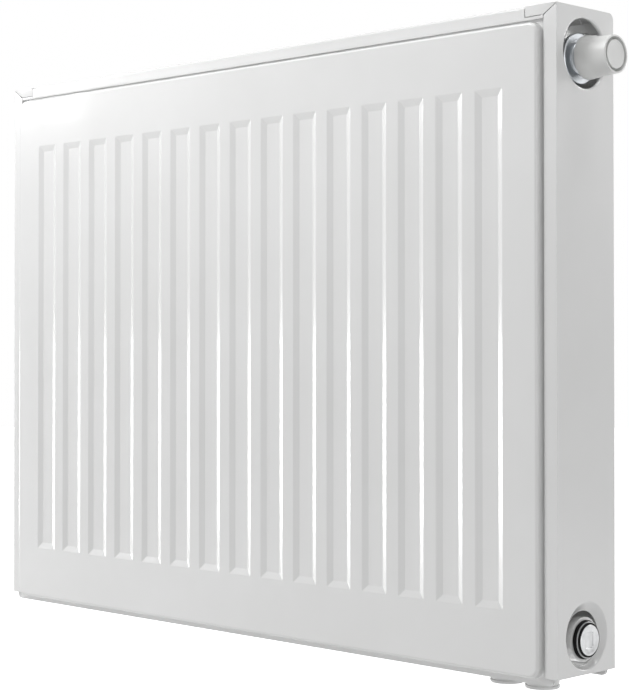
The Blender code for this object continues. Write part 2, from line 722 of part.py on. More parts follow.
def valve():
    """Insert, spindle, disc, spring and gland, turned about the valve's axis."""
    axis = (RIGHT, MIDDLE_Y, UPPER_AXIS)
    boss_end = -VALVE_BOSS_SETBACK
    nose = boss_end - INSERT_REACH + GAP
    collar = boss_end + GAP
    shoulder = nose + INSERT_FLOOR
    insert = (
        (nose, SPINDLE_R + 2 * GAP),
        (nose, INSERT_R - GAP),
        (collar, INSERT_R - GAP),
        (collar, INSERT_COLLAR_R),
        (collar + INSERT_COLLAR, INSERT_COLLAR_R),
        (collar + INSERT_COLLAR, INSERT_THREAD_R),
        (INSERT_NOSE, INSERT_THREAD_R),
        (INSERT_NOSE, INSERT_BORE),
        (shoulder, INSERT_BORE),
        (shoulder, SPINDLE_R + 2 * GAP),
    )
    add_object("valve_insert", turned_mesh(insert, axis, "X", 28), NICKEL)

    # The disc rests a gap away from the seat ring when the cap is screwed in.
    seat = -FITTING_X - SEAT_DEPTH + GAP
    ring = (
        (seat, SEAT_R),
        (seat, SEAT_CHAMBER_R - GAP),
        (seat + SEAT_RING, SEAT_CHAMBER_R - GAP),
        (seat + SEAT_RING, SEAT_R),
    )
    add_object("valve_seat", turned_mesh(ring, axis, "X", 16), BRASS)

    disc_x = seat + SEAT_RING + GAP
    disc = ((disc_x, 0), (disc_x, DISC_R), (disc_x + DISC_THICK, DISC_R), (disc_x + DISC_THICK, 0))
    holder = disc_x + DISC_THICK + GAP
    stop = SPINDLE_COLLAR_X
    rod = (
        (holder, 0),
        (holder, DISC_HOLDER_R),
        (holder + DISC_HOLDER, DISC_HOLDER_R),
        (holder + DISC_HOLDER, SPINDLE_R),
        (stop, SPINDLE_R),
        (stop, SPINDLE_COLLAR_R),
        (stop + SPINDLE_COLLAR, SPINDLE_COLLAR_R),
        (stop + SPINDLE_COLLAR, SPINDLE_R),
        (SPINDLE_REACH - 2 * EDGE, SPINDLE_R),
        (SPINDLE_REACH, SPINDLE_R - 2 * EDGE),
        (SPINDLE_REACH, 0),
    )
    add_object("valve_disc", turned_mesh(disc, axis, "X", 16), RUBBER)
    add_object("valve_spindle", turned_mesh(rod, axis, "X", 12), NICKEL)

    gland_x = INSERT_NOSE + GAP
    seal_x = INSERT_NOSE - GLAND_SPIGOT - GLAND_SEAL - GAP
    seal = (
        (seal_x, SPINDLE_R + GAP),
        (seal_x, INSERT_BORE - GAP),
        (seal_x + GLAND_SEAL, INSERT_BORE - GAP),
        (seal_x + GLAND_SEAL, SPINDLE_R + GAP),
    )
    add_object("gland_seal", turned_mesh(seal, axis, "X", 16), RUBBER)
    gland = (
        (INSERT_NOSE - GLAND_SPIGOT, SPINDLE_R + GAP),
        (INSERT_NOSE - GLAND_SPIGOT, INSERT_BORE - GAP),
        (gland_x, INSERT_BORE - GAP),
        (gland_x, GLAND_R),
        (gland_x + GLAND_HEAD, GLAND_R),
        (gland_x + GLAND_HEAD, SPINDLE_R + GAP),
    )
    add_object("gland_nut", turned_mesh(gland, axis, "X", 16), BRASS)
    spring(axis, shoulder + GAP, stop - GAP)


def spring(axis, start, end):
    """A coil between the insert's shoulder and the spindle's collar."""
    per_turn = 9
    steps = SPRING_TURNS * per_turn
    run = end - start - 2 * SPRING_WIRE
    curve = bpy.data.curves.new("valve_spring", "CURVE")
    curve.dimensions = "3D"
    curve.bevel_depth = SPRING_WIRE
    curve.bevel_resolution = 1
    curve.use_fill_caps = True
    spline = curve.splines.new("POLY")
    spline.points.add(steps)
    for i, point in enumerate(spline.points):
        angle = 2 * math.pi * i / per_turn
        along = start + SPRING_WIRE + run * i / steps
        y = axis[1] + SPRING_R * math.cos(angle)
        z = axis[2] + SPRING_R * math.sin(angle)
        point.co = (axis[0] + along, y, z, 1)
    curve.materials.append(add_material("valve_spring", *NICKEL))
    coil = bpy.data.objects.new("valve_spring", curve)
    bpy.context.collection.objects.link(coil)


def cap():
    """The hand cap on the insert's thread, and the pusher that it carries."""
    axis = (RIGHT, MIDDLE_Y, UPPER_AXIS)
    bore = INSERT_THREAD_R + THREAD_GAP
    recess = CAP_REACH - CAP_RECESS
    shell = (
        (CAP_BASE_X, bore),
        (CAP_BASE_X, CAP_BASE_R - EDGE),
        (CAP_BASE_X + EDGE, CAP_BASE_R),
        (CAP_BASE_X + CAP_BAND, CAP_BASE_R),
        (CAP_STEP_X, CAP_STEP_R),
        (CAP_REACH - CAP_ROUND, CAP_END_R),
        (CAP_REACH - 0.3 * CAP_ROUND, CAP_END_R - 0.3 * CAP_ROUND),
        (CAP_REACH, CAP_END_R - CAP_ROUND + EDGE),
        (CAP_REACH, CAP_END_R - CAP_RIM),
        (recess, CAP_END_R - CAP_RIM),
        (recess, PUSHER_STEM_R + GAP),
        (recess - CAP_FLOOR, PUSHER_STEM_R + GAP),
        (recess - CAP_FLOOR, bore),
    )
    turning = add_object("valve_cap", turned_mesh(shell, (0, 0, 0), "X", 32), PLASTIC)
    pivot = bpy.data.objects.new("cap_axis", None)
    bpy.context.collection.objects.link(pivot)
    pivot.location = axis
    turning.parent = pivot
    stem = SPINDLE_REACH + GAP
    pusher = (
        (stem, 0),
        (stem, PUSHER_STEM_R),
        (recess + GAP, PUSHER_STEM_R),
        (recess + GAP, PUSHER_R),
        (CAP_REACH - PUSHER_BACK - EDGE, PUSHER_R),
        (CAP_REACH - PUSHER_BACK, PUSHER_R - EDGE),
        (CAP_REACH - PUSHER_BACK, 0),
    )
    face = add_object("cap_pusher", turned_mesh(pusher, (0, 0, 0), "X", 28), PLASTIC)
    face.parent = pivot


def plug(side, label):
    """Blind plug in a lower boss: head, seal, collar and base seal in a stack."""
    face = RIGHT if side > 0 else LEFT
    axis = (face, MIDDLE_Y, LOWER_AXIS)

    def turn(name, profile, finish, sides=24):
        points = [(side * along, radius) for along, radius in profile]
        add_object(name, turned_mesh(points, axis, "X", sides), finish)

    def ring(name, start, thick, outer, finish):
        inner = PLUG_NECK_R + GAP
        profile = (
            (start, inner),
            (start, outer),
            (start + thick - EDGE, outer),
            (start + thick, outer - EDGE),
            (start + thick, inner),
        )
        turn(name, profile, finish)

    back = PLUG_REACH - PLUG_FACE
    base = -BOSS_SETBACK + GAP
    shank = -BOSS_SETBACK - PLUG_SHANK
    head = (
        (shank, 0),
        (shank, BOSS_BORE - GAP),
        (base, BOSS_BORE - GAP),
        (base, PLUG_NECK_R),
        (back, PLUG_NECK_R),
        (back, PLUG_R),
        (PLUG_REACH - PLUG_CHAMFER, PLUG_R),
        (PLUG_REACH, PLUG_R - PLUG_CHAMFER),
        (PLUG_REACH, PLUG_R - PLUG_RIM),
        (PLUG_REACH - PLUG_HOLLOW, PLUG_R - PLUG_RIM - PLUG_HOLLOW),
        (PLUG_REACH - PLUG_HOLLOW, 0),
    )
    turn(f"plug_{label}", head, STEEL)
    seal_start = back - GAP - PLUG_SEAL
    collar_start = seal_start - GAP - PLUG_COLLAR
    ring(f"plug_seal_{label}", seal_start, PLUG_SEAL, PLUG_SEAL_R, RUBBER)
    ring(f"plug_collar_{label}", collar_start, PLUG_COLLAR, PLUG_COLLAR_R, STEEL)
    base_thick = collar_start - GAP - base
    ring(f"plug_base_seal_{label}", base, base_thick, PLUG_BASE_SEAL_R, RUBBER)


def vent():
    """Air vent in the upper left boss, with a screw that turns."""
    axis = (LEFT, MIDDLE_Y, UPPER_AXIS)
    base = -BOSS_SETBACK + GAP
    shank = -BOSS_SETBACK - PLUG_SHANK
    well = VENT_SCREW_R + GAP
    floor = PLUG_REACH - VENT_SCREW_DEPTH
    seal_end = base + PLUG_SEAL
    body = (
        (shank, 0),
        (shank, BOSS_BORE - GAP),
        (base, BOSS_BORE - GAP),
        (base, PLUG_NECK_R),
        (seal_end + GAP, PLUG_NECK_R),
        (seal_end + GAP, PLUG_R),
        (PLUG_REACH - 2 * EDGE, PLUG_R),
        (PLUG_REACH, PLUG_R - 2 * EDGE),
        (PLUG_REACH, well),
        (floor, well),
        (floor, 0),
    )
    add_object("vent_body", turned_mesh([(-a, r) for a, r in body], axis, "X", 24), NICKEL)
    seal = (
        (base, PLUG_NECK_R + GAP),
        (base, PLUG_SEAL_R),
        (seal_end, PLUG_SEAL_R),
        (seal_end, PLUG_NECK_R + GAP),
    )
    add_object("vent_seal", turned_mesh([(-a, r) for a, r in seal], axis, "X", 24), RUBBER)
    end = PLUG_REACH + VENT_SCREW_REACH
    screw = (
        (floor + GAP, 0),
        (floor + GAP, VENT_SCREW_R),
        (end - EDGE, VENT_SCREW_R),
        (end, VENT_SCREW_R - EDGE),
        (end, 0),
    )
    pivot = bpy.data.objects.new("vent_axis", None)
    bpy.context.collection.objects.link(pivot)
    pivot.location = axis
    turning = add_object("vent_screw", turned_mesh([(-a, r) for a, r in screw], (0, 0, 0), "X", 16), BRASS)
    turning.parent = pivot
    low = (-end - OVERCUT, -THROUGH, -VENT_SLOT / 2)
    high = (-end + VENT_SLOT_DEPTH, THROUGH, VENT_SLOT / 2)
    slot = add_cutter("vent_slot", box_mesh(low, high))
    slot.parent = pivot
    combine(turning, slot, "DIFFERENCE")


def lug(name, x, z):
    """A folded strap on the rear panel; a wall hook goes in behind it."""
    near = FRONT + COVER_DEPTH + FACE_PROUD + GAP
    far = FRONT + COVER_DEPTH + FACE_PROUD + LUG_STANDOFF
    half, foot, t = LUG_HEIGHT / 2, LUG_FOOT, LUG_SHEET
    rise = far - near - t
    outline = [
        (near, z - half),
        (near + t, z - half),
        (near + t, z - half + foot - t),
        (far - t, z - half + foot - t + rise / 2),
        (far, z - half + foot + rise / 2),
        (far, z + half - foot - rise / 2),
        (far - t, z + half - foot + t - rise / 2),
        (near + t, z + half - foot + t),
        (near + t, z + half),
        (near, z + half),
        (near, z + half - foot),
        (far - t, z + half - foot - rise / 2),
        (far - t, z - half + foot + rise / 2),
        (near, z - half + foot),
    ]
    body = prism_mesh(outline, x - LUG_WIDTH / 2, x + LUG_WIDTH / 2, "X")
    return add_object(name, body, WHITE)


def lugs():
    for side, x in (("left", LEFT + LUG_SIDE), ("right", RIGHT - LUG_SIDE)):
        lug(f"lower_lug_{side}", x, BOTTOM + LUG_LOW)
        lug(f"upper_lug_{side}", x, TOP - LUG_HIGH)


# Finishes: colour, roughness, metallic
WHITE = ((0.80, 0.80, 0.79), 0.30, 0.0)
STEEL = ((0.62, 0.63, 0.64), 0.35, 0.8)
NICKEL = ((0.66, 0.67, 0.68), 0.25, 0.9)
BRASS = ((0.70, 0.55, 0.28), 0.35, 0.9)
RUBBER = ((0.02, 0.02, 0.02), 0.6, 0.0)
PLASTIC = ((0.55, 0.56, 0.56), 0.45, 0.0)
HIDDEN = ((0.5, 0.5, 0.5), 0.5, 0.0)

clear_scene()
panels()
convector("front_convector", -1)
convector("rear_convector", 1)
side_cover("side_cover_right", RIGHT, -1)
side_cover("side_cover_left", LEFT, 1)
top_grille()
fittings()
connections()
valve()
cap()
for end, word in ((1, "right"), (-1, "left")):
    plug(end, word)
vent()
lugs()
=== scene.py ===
import json
import math

import bmesh
import bpy
from mathutils import Matrix, Vector

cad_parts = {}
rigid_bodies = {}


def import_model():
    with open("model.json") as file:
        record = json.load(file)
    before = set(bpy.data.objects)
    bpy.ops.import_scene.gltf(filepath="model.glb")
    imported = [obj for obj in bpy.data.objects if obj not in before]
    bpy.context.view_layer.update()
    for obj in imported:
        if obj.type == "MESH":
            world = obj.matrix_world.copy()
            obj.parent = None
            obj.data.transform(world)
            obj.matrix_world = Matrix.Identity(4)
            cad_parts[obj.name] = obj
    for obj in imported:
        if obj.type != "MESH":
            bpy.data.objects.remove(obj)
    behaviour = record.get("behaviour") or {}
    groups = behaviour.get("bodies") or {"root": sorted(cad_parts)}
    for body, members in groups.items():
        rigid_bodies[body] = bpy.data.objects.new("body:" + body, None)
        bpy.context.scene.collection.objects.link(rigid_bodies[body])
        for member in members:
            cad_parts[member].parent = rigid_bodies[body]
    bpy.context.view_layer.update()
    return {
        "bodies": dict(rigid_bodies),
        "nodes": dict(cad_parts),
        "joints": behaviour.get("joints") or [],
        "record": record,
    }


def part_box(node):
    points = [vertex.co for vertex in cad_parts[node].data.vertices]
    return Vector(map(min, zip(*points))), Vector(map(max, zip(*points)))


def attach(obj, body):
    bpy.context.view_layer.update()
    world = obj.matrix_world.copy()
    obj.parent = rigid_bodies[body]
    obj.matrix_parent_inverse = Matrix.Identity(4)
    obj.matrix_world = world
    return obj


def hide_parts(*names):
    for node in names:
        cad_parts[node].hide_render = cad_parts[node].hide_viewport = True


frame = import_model()
print("frame loaded:", len(frame["nodes"]), "nodes")

# where things are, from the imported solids
coverLow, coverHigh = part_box("side_cover_right")
rightEnd = coverHigh.x
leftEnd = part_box("side_cover_left")[0].x
frontPlane = coverLow.y
rearPlane = coverHigh.y
middleX = (leftEnd + rightEnd) / 2
middleY = (frontPlane + rearPlane) / 2
coverTop = coverHigh.z
coverBottom = coverLow.z
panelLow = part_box("front_sheet")[0]
capLow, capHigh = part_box("valve_cap")
valveZ = (capLow.z + capHigh.z) / 2
plugLow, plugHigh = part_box("plug_right")
plugZ = (plugLow.z + plugHigh.z) / 2

flush = 1e-5  # how near to a plane a point counts as lying on it, in metres
hair = 1e-6  # how near two points or cuts count as one


# camera, light and floor

camera = {
    "place": (0.9564, -1.26384, 0.2948),  # from the right cover's front bottom corner
    "pitch": 91.0225,
    "yaw": 44.794,
    "lens": 92.523,
    "shiftY": -0.05749,
}


def addCamera(c):
    data = bpy.data.cameras.new("camera")
    data.sensor_width = 36
    data.lens = c["lens"]
    data.shift_y = c["shiftY"]
    data.clip_start, data.clip_end = 0.05, 50
    eye = bpy.data.objects.new("camera", data)
    corner = Vector((rightEnd, frontPlane, coverBottom))
    eye.location = corner + Vector(c["place"])
    eye.rotation_euler = (math.radians(c["pitch"]), 0, math.radians(c["yaw"]))
    bpy.context.collection.objects.link(eye)
    bpy.context.scene.camera = eye


studio = {
    "seen": 1.0,  # the white that shows behind
    "fill": (0.54, 0.14),  # what it gives as light, from straight below and straight above
    "floorDrop": 0.11,
    "floorSize": 6,
    "floorColour": (0.86, 0.86, 0.86),
    "floorGlow": 1.0,
    # name: place, target, size, watts
    "lamps": {
        "key": ((-0.40, -1.0, 1.70), (-0.05, 0.0, 0.30), (0.6, 0.6), 19),
        "left": ((-2.0, -0.85, 1.05), (0.0, 0.0, 0.25), (0.9, 0.5), 8),
        "strip": ((-1.9, -0.40, 0.12), (0.1, 0.0, 0.15), (0.7, 0.4), 8),
        "side": ((2.4, 0.5, 0.9), (0.3, 0.0, 0.3), (1.0, 1.6), 4),
        "top": ((0.70, 0.15, 2.2), (0.42, 0.0, 0.5), (0.4, 0.8), 7),
        "rim": ((1.1, 2.2, 1.2), (0.38, 0.0, 0.5), (0.8, 1.6), 18),
        "edge": ((1.97, -1.23, 0.40), (0.38, 0.0, 0.30), (0.25, 1.2), 6),
    },
}


def addLamp(name, place, target, size, watts):
    data = bpy.data.lights.new(name, "AREA")
    data.shape = "RECTANGLE"
    data.size, data.size_y = size
    data.energy = watts
    lamp = bpy.data.objects.new(name, data)
    lamp.location = place
    lamp.rotation_euler = (Vector(target) - Vector(place)).to_track_quat("-Z", "Y").to_euler()
    bpy.context.collection.objects.link(lamp)


def addStudio(s):
    world = bpy.data.worlds.new("studio")
    bpy.context.scene.world = world
    world.use_nodes = True
    tree = world.node_tree
    sky = tree.nodes["Background"]
    sky.inputs["Color"].default_value = (1, 1, 1, 1)
    path = tree.nodes.new("ShaderNodeLightPath")
    seen = tree.nodes.new("ShaderNodeMath")
    seen.operation = "MAXIMUM"
    tree.links.new(path.outputs["Is Camera Ray"], seen.inputs[0])
    tree.links.new(path.outputs["Is Glossy Ray"], seen.inputs[1])
    here = tree.nodes.new("ShaderNodeTexCoord")
    apart = tree.nodes.new("ShaderNodeSeparateXYZ")
    tree.links.new(here.outputs["Generated"], apart.inputs[0])
    height = tree.nodes.new("ShaderNodeMapRange")
    height.inputs["From Min"].default_value = -1
    height.inputs["To Min"].default_value, height.inputs["To Max"].default_value = s["fill"]
    tree.links.new(apart.outputs["Z"], height.inputs["Value"])
    level = tree.nodes.new("ShaderNodeMapRange")
    level.inputs["To Max"].default_value = s["seen"]
    tree.links.new(height.outputs["Result"], level.inputs["To Min"])
    tree.links.new(seen.outputs[0], level.inputs["Value"])
    tree.links.new(level.outputs["Result"], sky.inputs["Strength"])
    for name, lamp in s["lamps"].items():
        addLamp(name, *lamp)
    bm = bmesh.new()
    bmesh.ops.create_grid(bm, x_segments=2, y_segments=2, size=s["floorSize"])
    bmesh.ops.translate(bm, verts=bm.verts, vec=(0, 0, -s["floorDrop"]))
    mesh = bpy.data.meshes.new("floor")
    bm.to_mesh(mesh)
    bm.free()
    floor = bpy.data.objects.new("floor", mesh)
    bpy.context.collection.objects.link(floor)
    floor.visible_diffuse = False
    paint = bpy.data.materials.new("floor paint")
    paint.use_nodes = True
    shader = paint.node_tree.nodes["Principled BSDF"]
    shader.inputs["Base Color"].default_value = (*s["floorColour"], 1)
    shader.inputs["Roughness"].default_value = 0.9
    shader.inputs["Specular IOR Level"].default_value = 0.0
    shader.inputs["Emission Color"].default_value = (1, 1, 1, 1)
    shader.inputs["Emission Strength"].default_value = s["floorGlow"]
    mesh.materials.append(paint)
    bpy.context.scene.view_settings.view_transform = "Standard"


addCamera(camera)
addStudio(studio)
print("camera and studio ready")


# shader maths written as plain expressions


class Wire:
    # one output socket; arithmetic on it adds Math nodes
    def __init__(self, graph, socket):
        self.graph = graph
        self.socket = socket

    def maths(self, operation, first, second):
        return self.graph.node("ShaderNodeMath", {"operation": operation}, {0: first, 1: second})

    def __add__(self, other):
        return self.maths("ADD", self, other)

    def __radd__(self, other):
        return self.maths("ADD", other, self)

    def __mul__(self, other):
        return self.maths("MULTIPLY", self, other)

    def __rmul__(self, other):
        return self.maths("MULTIPLY", other, self)


class Graph:
    # a material's nodes, with its shader's sockets set by name
    def __init__(self, name, colour, roughness, metallic=0.0, **sockets):
        self.material = bpy.data.materials.new(name)
        self.material.use_nodes = True
        self.tree = self.material.node_tree
        self.shader = self.tree.nodes["Principled BSDF"]
        fixed = {"Base Color": (*colour, 1), "Roughness": roughness, "Metallic": metallic}
        for key, value in (fixed | sockets).items():
            self.shader.inputs[key.replace("_", " ")].default_value = value

    def node(self, kind, settings=None, values=None, output=0):
        made = self.tree.nodes.new(kind)
        for key, value in (settings or {}).items():
            if key == "stops":
                ramp = made.color_ramp.elements
                while len(ramp) < len(value):
                    ramp.new(0.5)
                for stop, (place, shade) in zip(ramp, value):
                    stop.position = place
                    stop.color = (shade, shade, shade, 1)
            else:
                setattr(made, key, value)
        for key, value in (values or {}).items():
            if isinstance(value, Wire):
                self.tree.links.new(value.socket, made.inputs[key])
            else:
                made.inputs[key].default_value = value
        return Wire(self, made.outputs[output])

    def feed(self, socket, wire):
        self.tree.links.new(wire.socket, self.shader.inputs[socket])

    def place(self, scale=(1, 1, 1)):
        # object coordinates, stretched to draw a grain along an axis
        here = self.node("ShaderNodeTexCoord", output="Object")
        return self.node("ShaderNodeMapping", None, {"Vector": here, "Scale": scale})

    def noise(self, size, detail=2.0, roughness=0.5, scale=(1, 1, 1)):
        # size is the pattern's usual feature in metres
        values = {
            "Vector": self.place(scale), "Scale": 1 / size, "Detail": detail, "Roughness": roughness,
        }
        return self.node("ShaderNodeTexNoise", None, values)

    def ramp(self, wire, *stops):
        return self.node("ShaderNodeValToRGB", {"stops": stops}, {"Fac": wire})

    def mix(self, factor, first, second):
        values = {0: factor, 6: (*first, 1), 7: (*second, 1)}
        return self.node("ShaderNodeMix", {"data_type": "RGBA"}, values, 2)

    def bump(self, height, strength, distance):
        values = {"Height": height, "Strength": strength, "Distance": distance}
        self.feed("Normal", self.node("ShaderNodeBump", None, values))


enamel = {
    "colour": (0.83, 0.832, 0.83),
    "shade": (0.79, 0.792, 0.787),
    "cloud": 0.11,
    "speck": 0.0011,
    "cloudShare": 0.85,
    "peel": 0.0024,  # orange peel of the baked powder coat
    "wave": 4,  # the slower ripple under it, times the peel
    "peelDepth": 0.00002,
    "roughness": 0.24,
    "sheen": 0.035,
    "sheenSpread": 0.08,
}


def enamelPaint(name, e, dust=0.0):
    g = Graph(name, e["colour"], e["roughness"], Coat_Weight=0.5, Coat_Roughness=0.06)
    grime = g.noise(e["cloud"], 3) * e["cloudShare"] + g.noise(e["speck"], 2) * (1 - e["cloudShare"])
    tint = g.ramp(grime, (0.35, 0), (0.75, 1 - dust))
    g.feed("Base Color", g.mix(tint, e["colour"], e["shade"]))
    lowest = e["roughness"] - e["sheenSpread"] / 2
    g.feed("Roughness", lowest + g.noise(e["sheen"], 3) * e["sheenSpread"])
    g.bump(g.noise(e["peel"], 1.5) + g.noise(e["peel"] * e["wave"], 1) * 0.8, 0.35, e["peelDepth"])
    return g.material


metal = {
    "turning": 0.00035,  # pitch of the fine rings that the lathe leaves
    "stretch": 0.02,
    "stain": 0.006,
    "stainDark": 0.82,
    "ringDepth": 0.00002,
}


def turnedMetal(name, colour, roughness, m):
    # fine lathe rings round the X axis and a faint stain
    g = Graph(name, colour, roughness, 1.0)
    rings = g.noise(m["turning"], 2, scale=(1, m["stretch"], m["stretch"]))
    stain = g.noise(m["stain"], 3)
    g.feed("Roughness", roughness - 0.08 + rings * 0.1 + stain * 0.08)
    dark = tuple(c * m["stainDark"] for c in colour)
    g.feed("Base Color", g.mix(g.ramp(stain, (0.4, 0), (0.8, 1)), colour, dark))
    g.bump(rings, 0.3, m["ringDepth"])
    return g.material


moulding = {
    "colour": (0.76, 0.765, 0.755),
    "lighter": 1.06,
    "roughness": 0.42,
    "grain": 0.00045,
    "cloud": 0.02,
    "grainDepth": 0.00003,
}


def mouldedPlastic(name, m):
    g = Graph(name, m["colour"], m["roughness"])
    grain = g.noise(m["grain"], 2)
    light = tuple(c * m["lighter"] for c in m["colour"])
    g.feed("Base Color", g.mix(g.ramp(g.noise(m["cloud"], 2), (0.3, 0), (0.7, 1)), m["colour"], light))
    g.feed("Roughness", m["roughness"] - 0.05 + grain * 0.1)
    g.bump(grain, 0.25, m["grainDepth"])
    return g.material


rubber = {
    "colour": (0.006, 0.006, 0.0065),
    "bloomColour": (0.016, 0.016, 0.0155),
    "bloom": 0.0016,
    "roughness": 0.5,
    "shine": 0.08,
    "skin": 0.0004,
    "skinDepth": 0.00002,
}


def sealRubber(name, r):
    g = Graph(name, r["colour"], r["roughness"], Specular_IOR_Level=r["shine"])
    bloom = g.noise(r["bloom"], 3)
    g.feed("Base Color", g.mix(g.ramp(bloom, (0.5, 0), (0.9, 1)), r["colour"], r["bloomColour"]))
    g.feed("Roughness", r["roughness"] - 0.08 + bloom * 0.2)
    g.bump(g.noise(r["skin"], 1), 0.3, r["skinDepth"])
    return g.material


finishes = {
    "enamel": enamelPaint("white enamel", enamel),
    "innerEnamel": enamelPaint("white enamel inside", enamel, 0.1),
    "turned": turnedMetal("turned steel", (0.47, 0.475, 0.48), 0.3, metal),
    "nickel": turnedMetal("nickel", (0.5, 0.52, 0.54), 0.4, metal),
    "brass": turnedMetal("brass", (0.72, 0.55, 0.27), 0.3, metal),
    "plastic": mouldedPlastic("cap plastic", moulding),
    "rubber": sealRubber("seal rubber", rubber),
}
print("materials ready:", len(finishes))


# shared modelling steps


def addPiece(name, bm, finish, body, node, sharp, weighted=True):
    mesh = bpy.data.meshes.new(name)
    bm.to_mesh(mesh)
    bm.free()
    mesh.shade_smooth()
    mesh.set_sharp_from_angle(angle=math.radians(sharp))
    mesh.materials.append(finishes[finish])
    piece = bpy.data.objects.new(name, mesh)
    bpy.context.collection.objects.link(piece)
    if weighted:
        even = piece.modifiers.new("even normals", "WEIGHTED_NORMAL")
        even.keep_sharp = True
    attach(piece, body)
    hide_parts(node)
    return piece


def giveSheet(piece, thickness):
    wall = piece.modifiers.new("sheet", "SOLIDIFY")
    wall.thickness = thickness
    wall.offset = -1
    even = piece.modifiers.new("even normals", "WEIGHTED_NORMAL")
    even.keep_sharp = True


def softenEdges(bm, width, segments=2, angle=30, only=None):
    picked = [
        e for e in bm.edges
        if len(e.link_faces) == 2
        and e.calc_face_angle(0) > math.radians(angle)
        and (only is None or only(e))
    ]
    bmesh.ops.bevel(
        bm, geom=picked, offset=width, offset_type="OFFSET", segments=segments,
        profile=0.5, affect="EDGES", clamp_overlap=True, material=-1,
    )


def turnedRing(profile, centre, sides=96, toLeft=False):
    # profile points are (distance along the axis, radius); it runs along X
    bm = bmesh.new()
    sign = -1 if toLeft else 1
    line = [bm.verts.new(Vector(centre) + Vector((sign * a, 0, r))) for a, r in profile]
    edges = [bm.edges.new(pair) for pair in zip(line, line[1:])]
    if min(r for _, r in profile) > 0:
        edges.append(bm.edges.new((line[-1], line[0])))
    bmesh.ops.spin(
        bm, geom=line + edges, cent=centre, axis=(1, 0, 0), angle=2 * math.pi,
        steps=sides, use_merge=True,
    )
    bmesh.ops.remove_doubles(bm, verts=bm.verts, dist=2 * hair)
    bmesh.ops.recalc_face_normals(bm, faces=bm.faces)
    return bm


def roundedRectangle(low, high, radius, segments, y):
    # one flat face in XZ with round corners, facing -Y
    bm = bmesh.new()
    bmesh.ops.create_grid(bm, x_segments=1, y_segments=1, size=0.5)
    size = (high[0] - low[0], high[1] - low[1])
    middle = ((high[0] + low[0]) / 2, (high[1] + low[1]) / 2)
    bmesh.ops.scale(bm, verts=bm.verts, vec=(size[0], size[1], 1))
    bmesh.ops.rotate(bm, verts=bm.verts, cent=(0, 0, 0), matrix=Matrix.Rotation(math.pi / 2, 3, "X"))
    bmesh.ops.translate(bm, verts=bm.verts, vec=(middle[0], y, middle[1]))
    bmesh.ops.bevel(
        bm, geom=bm.verts, offset=radius, offset_type="OFFSET", segments=segments,
        profile=0.5, affect="VERTICES", clamp_overlap=False, material=-1,
    )
    return bm


# pressed panels

panel = {
    "sheet": 0.00125,
    "seamSide": 0.0065,
    "seamTop": 0.0065,
    "seamCorner": 0.005,
    "footSide": 0.0165,
    "footBottom": 0.0055,
    "footTop": 0.0150,
    "corner": 0.011,
    "draft": 0.0008,
    "edgeRound": 0.0028,
    "footRound": 0.0012,
    "seamDepth": 0.0024,
    "pitch": 0.0469,
    "width": 0.0318,
    "wall": 0.0066,
    "depth": 0.0025,
    "fluteBottom": 0.0631,
    "fluteTop": 0.0706,
    "fluteEnd": 0.050,
    "rimRound": 0.0005,
}


def fluteCentres(p):
    room = rightEnd - leftEnd - 2 * p["fluteEnd"] - p["width"]
    count = int(room / p["pitch"]) + 1
    return [middleX + (i - (count - 1) / 2) * p["pitch"] for i in range(count)]


